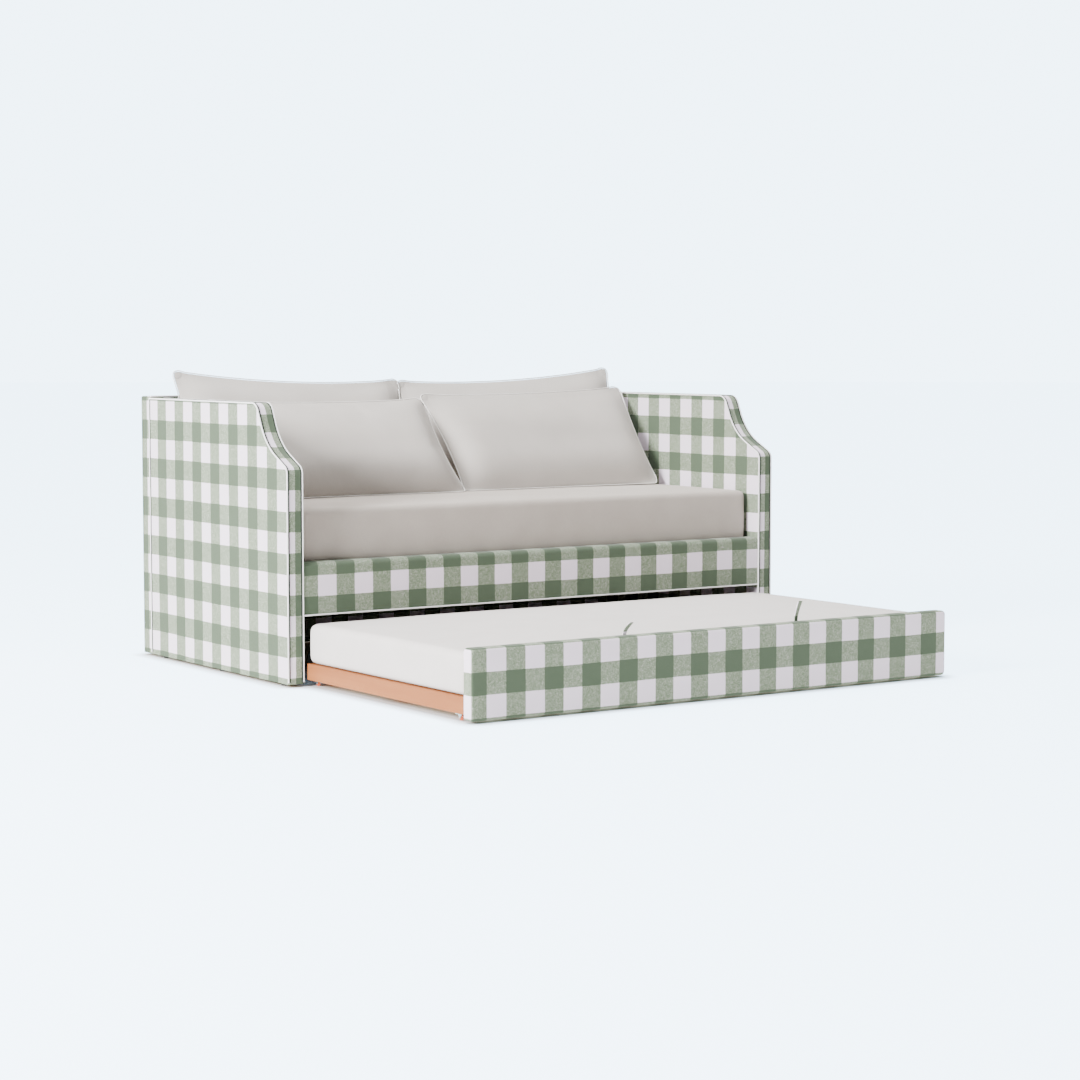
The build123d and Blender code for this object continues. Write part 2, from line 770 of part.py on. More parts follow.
with BuildPart() as caster_axles:
    for caster_x, caster_y in caster_places.values():
        hub = Plane((caster_x, caster_y, wheel_radius), x_dir=(0, 1, 0), z_dir=(1, 0, 0))
        with BuildSketch(hub):
            Circle(axle_radius)
        extrude(amount=fork_half + fork_wall, both=True)
        for head_start in (fork_half + fork_wall, -fork_half - fork_wall - axle_head_height):
            with BuildSketch(hub.offset(head_start)):
                Circle(axle_head_radius)
            extrude(amount=axle_head_height)
write(caster_axles, "caster_axles")

with BuildPart() as caster_screws:
    screw_seat = trundle_floor_gap - caster_plate
    add(caster_columns(screw_seat - caster_screw_head, caster_screw_head_radius, caster_screw_head))
    add(caster_columns(screw_seat, caster_screw_radius, caster_screw_length))
write(caster_screws, "caster_screws")


# Mattresses
def mattress(front, bottom, height):
    """A twin mattress with rounded corners and edges, from its front and its underside."""
    with BuildPart() as body:
        with BuildSketch(Plane.XY.offset(bottom)):
            with Locations((0, front + mattress_width / 2)):
                RectangleRounded(mattress_length, mattress_width, mattress_corner_radius)
        extrude(amount=height)
        fillet(body.faces().filter_by(Axis.Z).edges(), mattress_edge_radius)
    return body


write(mattress(mattress_front_y, mattress_bottom, mattress_height), "day_mattress")
trundle_mattress_bottom = trundle_deck + soft_gap
trundle_mattress_y = panel_rear_y + trundle_front_gap
write(mattress(trundle_mattress_y, trundle_mattress_bottom, trundle_mattress_height), "trundle_mattress")


# Pillows
def pillow(top, width, turn, lean, roll):
    """A knife-edged pillow whose sides draw in between its corners, flat where it rests.

    The middle between its upper corners is at top. It is turned about Z, leans back from upright
    and rolls in its own plane.
    """
    along = Vector(cos(radians(turn)), sin(radians(turn)), 0)
    back = Vector(-sin(radians(turn)), cos(radians(turn)), 0)
    up = back * sin(radians(lean)) + Vector(0, 0, 1) * cos(radians(lean))
    rolled_along = along * cos(radians(roll)) + up * sin(radians(roll))
    reach = pillow_height / 2
    seam = Plane(Vector(*top) - up * reach, x_dir=rolled_along, z_dir=along.cross(up))
    with BuildPart() as body:
        for face_side in (1, -1):
            for lift_share, inset_share in zip(pillow_lift_shares, pillow_inset_shares):
                half_x = width / 2 - reach * inset_share
                half_y = reach * (1 - inset_share)
                bow = half_y * inset_share * pillow_crown_share
                top_y = half_y - pillow_top_draw * (1 - inset_share) + bow
                foot_y = half_y - pillow_foot_draw * (1 - inset_share) + bow
                end_x = half_x - pillow_end_draw * (1 - inset_share) + bow
                with BuildSketch(seam.offset(face_side * lift_share * pillow_thickness / 2)):
                    with BuildLine():
                        ThreePointArc((-half_x, half_y), (0, top_y), (half_x, half_y))
                        ThreePointArc((half_x, half_y), (end_x, 0), (half_x, -half_y))
                        ThreePointArc((half_x, -half_y), (0, -foot_y), (-half_x, -half_y))
                        ThreePointArc((-half_x, -half_y), (-end_x, 0), (-half_x, half_y))
                    make_face()
            loft(ruled=True)
        floor_corner = (-outer_x, front_y, 0)
        add(block(floor_corner, (outer_x, rear_y, mattress_top + soft_gap)), mode=Mode.SUBTRACT)
        wall_corner = (-outer_x, back_face_y - piping_radius - soft_gap, 0)
        high = (outer_x, rear_y + pillow_height, mattress_top + 2 * pillow_height)
        add(block(wall_corner, high), mode=Mode.SUBTRACT)
    return body


pillow_names = ("back_left", "back_right", "front_left", "front_right")
pillow_eases = (back_pillow_ease, back_pillow_ease, front_pillow_ease, front_pillow_ease)
pillow_places = zip(pillow_sides, pillow_shifts, pillow_setbacks, pillow_rises)
pillow_angles = zip(pillow_turn_angles, pillow_lean_angles, pillow_roll_angles)
for name, ease, place, angles in zip(pillow_names, pillow_eases, pillow_places, pillow_angles):
    side, shift, setback, rise = place
    top = (side * inner_x / 2 + shift, back_face_y - setback, mattress_top + rise)
    write(pillow(top, inner_x - ease, *angles), f"pillow_{name}")

# Pull straps, held behind the trundle panel and standing up over its top edge
strap_sizes = zip(("left", "right"), strap_places, strap_rises, strap_leans, strap_bend_shares)
for name, place, rise, shift, bend_share in strap_sizes:
    with BuildPart() as pull_strap:
        with BuildLine(Plane.XZ.offset(-panel_rear_y - strap_thickness / 2)) as route:
            FilletPolyline(
                (place, panel_top - strap_tail),
                (place, panel_top + rise * bend_share),
                (place + shift, panel_top + rise),
                radius=strap_bend_radius,
            )
        with BuildSketch(Plane((place, panel_rear_y + strap_thickness / 2, panel_top - strap_tail))):
            Rectangle(strap_width, strap_thickness)
        sweep(path=route.line)
        tip_corners = pull_strap.edges().filter_by(Axis.Y).sort_by(Axis.Z)[-2:]
        fillet(tip_corners, strap_tip_radius)
    write(pull_strap, f"pull_strap_{name}")
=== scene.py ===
"""Looks of a trundle daybed.

Gingham arms, back and rail over timber frames, two mattresses, four pillows and a trundle that
rolls out from under the bed.
"""

import math

import bmesh
import bpy
from mathutils import Matrix, Vector, noise


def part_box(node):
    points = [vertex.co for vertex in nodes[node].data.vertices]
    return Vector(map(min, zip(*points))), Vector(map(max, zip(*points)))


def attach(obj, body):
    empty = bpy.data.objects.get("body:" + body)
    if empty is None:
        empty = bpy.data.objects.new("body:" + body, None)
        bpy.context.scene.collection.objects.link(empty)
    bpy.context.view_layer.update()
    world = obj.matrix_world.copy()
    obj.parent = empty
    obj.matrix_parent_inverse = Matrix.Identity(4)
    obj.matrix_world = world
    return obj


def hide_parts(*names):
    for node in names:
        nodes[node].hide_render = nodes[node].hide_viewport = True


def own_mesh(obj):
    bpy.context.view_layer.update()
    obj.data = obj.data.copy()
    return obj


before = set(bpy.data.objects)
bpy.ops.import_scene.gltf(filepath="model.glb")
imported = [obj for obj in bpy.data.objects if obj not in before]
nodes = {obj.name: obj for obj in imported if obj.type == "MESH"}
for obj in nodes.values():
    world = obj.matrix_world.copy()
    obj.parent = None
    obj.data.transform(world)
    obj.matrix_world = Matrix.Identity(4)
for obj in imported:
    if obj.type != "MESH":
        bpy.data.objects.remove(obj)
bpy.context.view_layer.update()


# Camera
# A long lens looks down a little from off the left front corner, at about the height of a seated
# person's eyes.
camera_data = bpy.data.cameras.new("camera")
camera_data.sensor_width = 36
camera_data.lens = 84.753
camera_data.clip_end = 200
camera = bpy.data.objects.new("camera", camera_data)
camera.location = (-5.02696, -7.37163, 1.14629)
camera.rotation_euler = (math.radians(85.48), 0, math.radians(-34.35))
bpy.context.scene.collection.objects.link(camera)
bpy.context.scene.camera = camera


# Floor and light
# A painted studio floor runs out into a plain pale sweep. A wide soft dome is brightest overhead,
# and a big softbox stands far off on the left. The floor glows evenly where it is seen, and painted
# shade from ambient occlusion darkens that glow where things stand close to it and over all the
# ground under the bed. Towards the bed the floor glows with painted bounce light, strongest close
# by.
backdrop_colour = (0.636, 0.824, 1.0, 1)
backdrop_light = 7.74
floor_colour = (0.60, 0.61, 0.62, 1)
# Painted bounce light: the floor glows onto the bed, brightest close to it and not at all under it.
bounce_glow_colour = (0.98, 1.0, 1.0, 1)
bounce_glow_near = 1.15
bounce_glow_far = 0.3
floor_glow_colour = (0.52, 0.77, 1.0, 1)
floor_glow = 5.9
# Painted shade on the floor's glow: its reach and depth at contact, and the reach that finds the
# ground under the bed.
shade_reach = 0.06
shade_depth = 3.2
bay_reach = 2.0
bed_middle = (0, 0.505)
bed_half = (1.02, 0.555)
dome_colour = (1.0, 0.995, 0.985, 1)
dome_low = 0.15
dome_high = 14.5
dome_towards = (-0.10, 0.24, 0.966)
dome_focus = 10.0
softbox_place = (-9.2, -1.6, 4.1)
softbox_aim = (0.0, 0.1, 0.45)
softbox_size = (3.2, 2.6)
softbox_power = 3000
floor_radius = 60

# Each fade is a slope and an offset, held between 0 and 1.
bounce_glow_fade = (-0.40, 1.9)
bay_fade = (3.3, -0.33)


def link(tree, source, output, target, socket):
    """Joins one node's output to another node's input."""
    tree.links.new(source.outputs[output], target.inputs[socket])


def new_node(tree, kind, **values):
    """A shader node with its unlinked inputs set. An underscore in a name stands for a space."""
    made = tree.nodes.new("ShaderNode" + kind)
    for name, value in values.items():
        made.inputs[name.replace("_", " ")].default_value = value
    return made


def math_node(tree, operation, first, second=None, third=None, clamp=False):
    """One step of arithmetic. A number is set on the node and a pair (node, output) is linked."""
    made = tree.nodes.new("ShaderNodeMath")
    made.operation = operation
    made.use_clamp = clamp
    for place, value in enumerate((first, second, third)):
        if isinstance(value, tuple):
            link(tree, *value, made, place)
        elif value is not None:
            made.inputs[place].default_value = value
    return (made, "Value")


def new_finish(name, roughness, sheen=0.0, specular=0.5, metallic=0.0):
    """A material with a plain shader, ready for its colour and bump."""
    finish = bpy.data.materials.new(name)
    finish.use_nodes = True
    shader = finish.node_tree.nodes["Principled BSDF"]
    shader.inputs["Roughness"].default_value = roughness
    shader.inputs["Sheen Weight"].default_value = sheen
    shader.inputs["Specular IOR Level"].default_value = specular
    shader.inputs["Metallic"].default_value = metallic
    return finish, finish.node_tree, shader


world = bpy.data.worlds.new("studio")
world.use_nodes = True
sky = world.node_tree
dome = sky.nodes["Background"]
dome.inputs["Color"].default_value = dome_colour
seen = new_node(sky, "Background", Color=backdrop_colour, Strength=backdrop_light)
heading = new_node(sky, "TexCoord")
facing = sky.nodes.new("ShaderNodeVectorMath")
facing.operation = "DOT_PRODUCT"
facing.inputs[1].default_value = dome_towards
link(sky, heading, "Generated", facing, 0)
glow = math_node(sky, "POWER", math_node(sky, "MAXIMUM", (facing, "Value"), 0.0), dome_focus)
level = math_node(sky, "MULTIPLY_ADD", glow, dome_high, dome_low)
link(sky, *level, dome, "Strength")
path = new_node(sky, "LightPath")
either = new_node(sky, "MixShader")
link(sky, path, "Is Camera Ray", either, "Fac")
link(sky, dome, "Background", either, 1)
link(sky, seen, "Background", either, 2)
link(sky, either, "Shader", sky.nodes["World Output"], "Surface")
bpy.context.scene.world = world

softbox_data = bpy.data.lights.new("softbox", "AREA")
softbox_data.shape = "RECTANGLE"
softbox_data.size = softbox_size[0]
softbox_data.size_y = softbox_size[1]
softbox_data.energy = softbox_power
softbox = bpy.data.objects.new("softbox", softbox_data)
softbox.location = softbox_place
softbox_line = Vector(softbox_aim) - Vector(softbox_place)
softbox.rotation_euler = softbox_line.to_track_quat("-Z", "Y").to_euler()
softbox.visible_camera = False
bpy.context.scene.collection.objects.link(softbox)

floor_finish, tree, shader = new_finish("pale_floor", 0.9, specular=0.0)
shader.inputs["Base Color"].default_value = floor_colour
# Painted shade: ambient occlusion darkens the floor's glow where things stand close and takes it
# away under the bed.
near = new_node(tree, "AmbientOcclusion", Distance=shade_reach)
under = new_node(tree, "AmbientOcclusion", Distance=bay_reach)
open_ground = math_node(tree, "MULTIPLY_ADD", (under, "AO"), *bay_fade, clamp=True)
contact = math_node(tree, "POWER", (near, "AO"), shade_depth)
shade = math_node(tree, "MULTIPLY", contact, open_ground)
painted_shade_glow = new_node(tree, "Emission", Color=floor_glow_colour)
link(tree, *math_node(tree, "MULTIPLY", shade, floor_glow), painted_shade_glow, "Strength")
lit = new_node(tree, "AddShader")
link(tree, shader, "BSDF", lit, 0)
link(tree, painted_shade_glow, "Emission", lit, 1)
spot = new_node(tree, "TexCoord")
spread = new_node(tree, "SeparateXYZ")
link(tree, spot, "Object", spread, "Vector")
outside = [
    math_node(
        tree,
        "GREATER_THAN",
        math_node(tree, "ABSOLUTE", math_node(tree, "SUBTRACT", (spread, axis), middle)),
        half,
    )
    for axis, middle, half in zip("XY", bed_middle, bed_half)
]
# Painted bounce light: for all but camera rays the floor glows, strongest near the bed and dark
# under it.
bounce_glow = new_node(tree, "Emission", Color=bounce_glow_colour)
clear_of_bed = math_node(tree, "MAXIMUM", *outside)
apart = tree.nodes.new("ShaderNodeVectorMath")
apart.operation = "LENGTH"
link(tree, spot, "Object", apart, 0)
closeness = math_node(tree, "MULTIPLY_ADD", (apart, "Value"), *bounce_glow_fade, clamp=True)
strength = math_node(tree, "MULTIPLY_ADD", closeness, bounce_glow_near, bounce_glow_far)
link(tree, *math_node(tree, "MULTIPLY", clear_of_bed, strength), bounce_glow, "Strength")
bright = new_node(tree, "AddShader")
link(tree, shader, "BSDF", bright, 0)
link(tree, bounce_glow, "Emission", bright, 1)
path = new_node(tree, "LightPath")
either = new_node(tree, "MixShader")
link(tree, path, "Is Camera Ray", either, "Fac")
link(tree, bright, "Shader", either, 1)
link(tree, lit, "Shader", either, 2)
link(tree, either, "Shader", tree.nodes["Material Output"], "Surface")

floor_mesh = bmesh.new()
bmesh.ops.create_circle(floor_mesh, cap_ends=True, segments=64, radius=floor_radius)
floor_data = bpy.data.meshes.new("floor")
floor_mesh.to_mesh(floor_data)
floor_mesh.free()
floor = bpy.data.objects.new("floor", floor_data)
floor.data.materials.append(floor_finish)
bpy.context.scene.collection.objects.link(floor)


# Arms
# Each end is a timber frame under hardboard, a layer of foam and a cover of woven gingham. A white
# cord is sewn into the welt on both sides of the border, which follows the swoop of the front edge.
check_size = 0.1382
yarn_pitch = 0.0011
yarn_contrast = 0.22
yarn_sharpness = 1.6
cloth_drift = 0.008
ragged_edge = 0.0022
stripe_sharpness = 14.0
facing_limit = 0.707
speckle_depth = 0.56
cloud_depth = 0.2
speckle_slope = 0.75
speckle_floor = 0.35
grain_along = 1.2
grain_across = 22
dyes = (
    (0.10, (0.79, 0.70, 0.80, 1)),
    (0.30, (0.38, 0.40, 0.35, 1)),
    (0.50, (0.168, 0.212, 0.135, 1)),
    (0.70, (0.103, 0.140, 0.088, 1)),
    (0.90, (0.068, 0.097, 0.060, 1)),
)


def choose(tree, factor, zero, one):
    """One number where the factor is 0 and another where it is 1."""
    made = new_node(tree, "Mix")
    made.data_type = "FLOAT"
    for socket, value in enumerate((factor, None, zero, one)):
        if isinstance(value, tuple):
            link(tree, *value, made, socket)
        elif value is not None:
            made.inputs[socket].default_value = value
    return (made, "Result")


def colours(tree, value, stops):
    """Turns a number into a colour, with stops of (number, colour)."""
    ramp = new_node(tree, "ValToRGB")
    elements = ramp.color_ramp.elements
    elements[0].position, elements[0].color = stops[0]
    elements[1].position, elements[1].color = stops[-1]
    for position, colour in stops[1:-1]:
        elements.new(position).color = colour
    link(tree, *value, ramp, "Fac")
    return ramp


def timber(name, pale, deep, along):
    """Wood whose grain runs along one axis, with long soft streaks and finer pores."""
    finish, tree, shader = new_finish(name, 0.55, specular=0.2)
    place = new_node(tree, "TexCoord")
    stretch = new_node(tree, "Mapping")
    stretch.inputs["Scale"].default_value = [
        grain_along if axis == along else grain_across for axis in range(3)
    ]
    streaks = new_node(tree, "TexNoise", Scale=1.5, Detail=6, Roughness=0.6, Distortion=0.4)
    pores = new_node(tree, "TexNoise", Scale=14, Detail=3, Roughness=0.7)
    bump = new_node(tree, "Bump", Strength=0.25, Distance=0.0006)
    link(tree, place, "Object", stretch, "Vector")
    link(tree, stretch, "Vector", streaks, "Vector")
    link(tree, stretch, "Vector", pores, "Vector")
    tone = colours(tree, (streaks, "Fac"), ((0.3, (*deep, 1)), (0.72, (*pale, 1))))
    link(tree, tone, "Color", shader, "Base Color")
    link(tree, pores, "Fac", bump, "Height")
    link(tree, bump, "Normal", shader, "Normal")
    return finish


def gingham(name, starts, sizes=(check_size, check_size, check_size), top_start=None, border=None):
    """Woven gingham with a green and a white yarn.

    starts is where a green stripe begins along x, y and z, and top_start does the same for y on
    level faces. border is for an arm's narrow edge: the x where its green stripe begins, and a
    curve that measures the cloth round the swoop.
    """
    finish, tree, shader = new_finish(name, 0.88, sheen=0.12, specular=0.2)
    place = new_node(tree, "TexCoord")
    drift = new_node(tree, "TexNoise", Scale=2.2, Detail=1)
    moved = new_node(tree, "VectorMath")
    moved.operation = "MULTIPLY_ADD"
    moved.inputs[1].default_value = (cloth_drift,) * 3
    centred = new_node(tree, "VectorMath")
    centred.operation = "ADD"
    centred.inputs[1].default_value = (-cloth_drift / 2,) * 3
    split = new_node(tree, "SeparateXYZ")
    facing = new_node(tree, "SeparateXYZ")
    wave = new_node(tree, "TexNoise", Scale=260, Detail=2)
    link(tree, place, "Object", drift, "Vector")
    link(tree, drift, "Color", moved, 0)
    link(tree, place, "Object", moved, 2)
    link(tree, moved, "Vector", centred, 0)
    link(tree, centred, "Vector", split, "Vector")
    link(tree, place, "Normal", facing, "Vector")
    link(tree, place, "Object", wave, "Vector")
    x, y, z = ((split, axis) for axis in "XYZ")
    side = math_node(tree, "GREATER_THAN", math_node(tree, "ABSOLUTE", (facing, "X")), facing_limit)
    top = math_node(tree, "GREATER_THAN", math_node(tree, "ABSOLUTE", (facing, "Z")), facing_limit)
    ragged = math_node(tree, "MULTIPLY_ADD", (wave, "Fac"), ragged_edge, -ragged_edge / 2)

    def stripe(coordinate, start, size):
        """1 where the yarn along this line is green, 0 where it is white."""
        shifted = math_node(tree, "ADD", math_node(tree, "SUBTRACT", coordinate, start), ragged)
        turn = math_node(tree, "SINE", math_node(tree, "MULTIPLY", shifted, 2 * math.pi / size))
        return math_node(tree, "MULTIPLY_ADD", turn, stripe_sharpness, 0.5, clamp=True)

    top_start = starts[1] if top_start is None else top_start
    side_columns = stripe(y, starts[1], sizes[1])
    rows = stripe(z, starts[2], sizes[2])
    if border is None:
        across = choose(tree, side, stripe(x, starts[0], sizes[0]), side_columns)
        along = choose(tree, top, rows, stripe(y, top_start, sizes[1]))
    else:
        edge_x, points = border
        round_swoop = new_node(tree, "FloatCurve")
        curve = round_swoop.mapping.curves[0]
        low, first = points[0]
        high, last = points[-1]
        spots = [
            ((walk - low) / (high - low), (length - first) / (last - first))
            for walk, length in points
        ]
        curve.points[0].location = spots[0]
        curve.points[-1].location = spots[-1]
        for spot in spots[1:-1]:
            curve.points.new(*spot)
        for point in curve.points:
            point.handle_type = "VECTOR"
        round_swoop.mapping.update()
        walked = math_node(tree, "ADD", y, z)
        share = math_node(tree, "MULTIPLY_ADD", walked, 1 / (high - low), -low / (high - low))
        link(tree, *share, round_swoop, "Value")
        length = math_node(tree, "MULTIPLY_ADD", (round_swoop, "Value"), last - first, first)
        edge_columns = math_node(tree, "GREATER_THAN", math_node(tree, "ADD", x, ragged), edge_x)
        across = choose(tree, side, edge_columns, side_columns)
        along = choose(tree, side, stripe(length, starts[2], sizes[2]), rows)
    weft, warp = (
        math_node(tree, "SINE", math_node(tree, "MULTIPLY", coordinate, math.pi / yarn_pitch))
        for coordinate in (choose(tree, side, x, y), choose(tree, top, z, y))
    )
    crossing = math_node(tree, "MULTIPLY", weft, warp)
    over = math_node(tree, "MULTIPLY_ADD", crossing, yarn_sharpness, 0.5, clamp=True)
    both = math_node(tree, "ADD", across, along)
    mean = math_node(tree, "MULTIPLY", both, 0.5)
    woven = choose(tree, yarn_contrast, mean, choose(tree, over, across, along))
    mixed = math_node(tree, "MULTIPLY_ADD", math_node(tree, "MULTIPLY", across, along), -2.0, both)
    heather = new_node(tree, "TexNoise", Scale=240, Detail=3, Roughness=0.65)
    slub = new_node(tree, "TexNoise", Scale=90, Detail=2, Roughness=0.5)
    link(tree, place, "Object", heather, "Vector")
    link(tree, place, "Object", slub, "Vector")
    speckle = math_node(tree, "MULTIPLY_ADD", (heather, "Fac"), speckle_depth, -speckle_depth / 2)
    cloud = math_node(tree, "MULTIPLY_ADD", (slub, "Fac"), cloud_depth, -cloud_depth / 2)
    much = math_node(tree, "MULTIPLY_ADD", mixed, speckle_slope, speckle_floor)
    value = math_node(tree, "MULTIPLY_ADD", math_node(tree, "ADD", speckle, cloud), much, woven)
    dye = colours(tree, value, dyes)
    link(tree, dye, "Color", shader, "Base Color")
    bump = new_node(tree, "Bump", Strength=0.35, Distance=0.0004)
    link(tree, *over, bump, "Height")
    link(tree, bump, "Normal", shader, "Normal")
    return finish


def plain(name, pale, deep, size, roughness, bump_depth, **shading):
    """A plain material with clouded tone, uneven roughness and a fine relief.

    size is that of its grains, in metres.
    """
    finish, tree, shader = new_finish(name, roughness, **shading)
    place = new_node(tree, "TexCoord")
    clouds = new_node(tree, "TexNoise", Scale=0.12 / size, Detail=4)
    grains = new_node(tree, "TexNoise", Scale=1 / size, Detail=3, Roughness=0.6)
    link(tree, place, "Object", clouds, "Vector")
    link(tree, place, "Object", grains, "Vector")
    half_clouds = math_node(tree, "MULTIPLY", (clouds, "Fac"), 0.5)
    both = math_node(tree, "MULTIPLY_ADD", (grains, "Fac"), 0.5, half_clouds)
    tone = colours(tree, both, ((0.38, (*deep, 1)), (0.62, (*pale, 1))))
    link(tree, tone, "Color", shader, "Base Color")
    rough = math_node(tree, "MULTIPLY_ADD", (clouds, "Fac"), 0.16, roughness - 0.08)
    link(tree, *rough, shader, "Roughness")
    bump = new_node(tree, "Bump", Strength=0.4, Distance=bump_depth)
    link(tree, grains, "Fac", bump, "Height")
    link(tree, bump, "Normal", shader, "Normal")
    return finish


def dress(finish, *names):
    """Gives CAD nodes a finish in place of their plain one."""
    for name in names:
        for slot in nodes[name].material_slots:
            slot.material = finish


def new_piece(name, mesh, finish, smooth=True):
    """Puts a bmesh in the scene as a piece with its finish."""
    data = bpy.data.meshes.new(name)
    mesh.to_mesh(data)
    mesh.free()
    data.materials.append(finish)
    for face in data.polygons:
        face.use_smooth = smooth
    made = bpy.data.objects.new(name, data)
    bpy.context.scene.collection.objects.link(made)
    return made


pine = timber("frame_pine", (0.60, 0.42, 0.24), (0.40, 0.25, 0.12), along=2)
dress(pine, "left_arm_frame", "right_arm_frame", "back_frame")
dress(pine, "front_rail_board", "trundle_panel_board")

# Each pair is y + z at a place on an arm's border, and the length of cloth up to it from the floor.
swoop_cloth = (
    (-0.035, 0.010),
    (0.677, 0.719),
    (0.7006, 0.7358),
    (0.8284, 0.8304),
    (0.9088, 0.8920),
    (0.9881, 0.9540),
    (1.0698, 1.0175),
    (1.1217, 1.0566),
    (1.912, 1.8468),
)
arm_sizes = (check_size, 0.1366, 0.1383)
border_stripe = 0.028
for side, row_start in (("left", 0.097), ("right", 0.085)):
    border = (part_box(f"{side}_arm_cover")[0].x + border_stripe, swoop_cloth)
    arm_gingham = gingham(f"gingham_{side}_arm", (0, 0.0255, row_start), arm_sizes, border=border)
    dress(arm_gingham, f"{side}_arm_cover")

cord_white = ((0.88, 0.87, 0.87), (0.80, 0.79, 0.79))
cord_cotton = plain("white_piping", *cord_white, 0.0008, 0.8, 0.0003, sheen=0.1, specular=0.2)
dress(cord_cotton, "left_arm_piping", "right_arm_piping", "back_piping", "front_rail_piping")
foam = plain("foam", (0.80, 0.74, 0.58), (0.70, 0.64, 0.48), 0.0012, 0.95, 0.0005, specular=0.1)
dress(foam, "left_arm_padding", "right_arm_padding", "back_padding")
dress(foam, "front_rail_padding", "trundle_panel_padding")
hardboard_brown = ((0.34, 0.22, 0.12), (0.24, 0.15, 0.08))
hardboard = plain("hardboard", *hardboard_brown, 0.0015, 0.7, 0.0003, specular=0.3)
dress(hardboard, "left_arm_boards", "right_arm_boards", "back_boards")

# The row of stitches beside each cord shows as a dark line in the fold of the welt. The thread is
# near black, painted shade of that fold as well as stitching.
stitch_and_crease_shade_dark = ((0.030, 0.036, 0.030), (0.020, 0.024, 0.020))
stitch_and_crease_shade = plain("stitch_and_crease_shade", *stitch_and_crease_shade_dark, 0.0006, 0.9, 0.0002, specular=0.1)
thread_thinner = 0.0006
thread_aside = 0.0054
rear_cord_depth = 0.004
for name in ("left", "right"):
    thread = bmesh.new()
    thread.from_mesh(nodes[f"{name}_arm_piping"].data)
    bmesh.ops.remove_doubles(thread, verts=thread.verts[:], dist=0.00002)
    thread.normal_update()
    low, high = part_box(f"{name}_arm_cover")
    middle = (low.x + high.x) / 2
    for vert in thread.verts:
        vert.co -= vert.normal * thread_thinner
        if vert.co.y > high.y - rear_cord_depth and abs(vert.co.x) > abs(middle):
            vert.co.y -= thread_aside
        else:
            vert.co.x += math.copysign(thread_aside, middle - vert.co.x)
    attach(new_piece(f"stitches_and_crease_shade_{name}_arm", thread, stitch_and_crease_shade), "bed")


# Back panel
# A long frame of posts and rails under hardboard, foam and gingham, made like the arms. It stands
# behind them over the full width, and a white cord follows its top front edge.
back_gingham = gingham("gingham_back", (0.0, 1.000, 0.097))
dress(back_gingham, "back_cover")


# Front rail A padded board between the arms, its gingham turned under and finished with a
# white welt.
rail_sizes = (0.1399, 0.1385, 0.1385)
rail_gingham = gingham("gingham_rail", (-0.9771, 0.0, 0.2299), rail_sizes, top_start=-0.050)
dress(rail_gingham, "front_rail_cover")


# Bed base
# Ledgers and a beam carry a row of flat slats, and bolted steel brackets tie rail, back and arms.
# Plastic glides keep the covers off the floor.
slat_timber = timber("slat_birch", (0.72, 0.58, 0.38), (0.55, 0.40, 0.22), along=1)
beam_timber = timber("beam_pine", (0.62, 0.45, 0.26), (0.42, 0.26, 0.12), along=0)
dress(slat_timber, "bed_slats", "trundle_slats")
dress(beam_timber, "front_ledger", "rear_ledger", "deck_beam")
zinc_grey = ((0.66, 0.67, 0.69), (0.52, 0.53, 0.55))
zinc = plain("zinc_steel", *zinc_grey, 0.004, 0.38, 0.0001, metallic=1.0)
dress(zinc, "steel_brackets", "bracket_bolts", "panel_bolts", "caster_screws", "caster_axles")
glide_black = ((0.035, 0.035, 0.036), (0.022, 0.022, 0.023))
black_plastic = plain("glide_plastic", *glide_black, 0.001, 0.5, 0.0002)
dress(black_plastic, "floor_glides")


# Trundle panel The board that shows when the trundle is in, padded in front and round its edges
# under gingham, and bare behind.
panel_sizes = (0.1400, 0.1383, 0.1383)
panel_gingham = gingham("gingham_panel", (-0.9746, -1.010, 0.0850), panel_sizes, top_start=-1.070)
dress(panel_gingham, "trundle_panel_cover")


# Trundle frame
# Two side rails, a rear rail and a beam of reddish wood, stiffened by corner blocks, carry slats.
# A cleat at the front is bolted to the panel.
red_wood = ((0.33, 0.121, 0.041), (0.265, 0.091, 0.030))
rail_wood = timber("rail_wood", *red_wood, along=1)
dress(rail_wood, "trundle_left_rail", "trundle_right_rail")
cross_wood = timber("cross_wood", *red_wood, along=0)
dress(cross_wood, "trundle_rear_rail", "trundle_front_cleat", "trundle_beam", "corner_blocks")


# Casters
# Fixed casters, each a pressed steel fork screwed up into the frame. An orange wheel turns
# between its cheeks on a plain axle.
wheel_orange = ((0.50, 0.080, 0.010), (0.42, 0.062, 0.008))
orange_rubber = plain("orange_wheel", *wheel_orange, 0.001, 0.4, 0.0002)
fork_grey = ((0.50, 0.64, 0.68), (0.40, 0.52, 0.56))
fork_steel = plain("fork_steel", *fork_grey, 0.003, 0.35, 0.0001, metallic=1.0)
for end in ("front_left", "front_right", "rear_left", "rear_right"):
    dress(orange_rubber, f"{end}_wheel")
    dress(fork_steel, f"{end}_caster_fork")


# Mattresses
# Foam blocks in a plain woven cover, softly rounded at the edges and a little crowned on top. The
# trundle's is the rounder of the two.
foam_pitch = 0.03
foam_sag = 0.0016
foam_belly = 0.0012

# A point further out than these shares of half the size is on an end or a side.
foam_end_from = 0.97
foam_side_from = 0.9


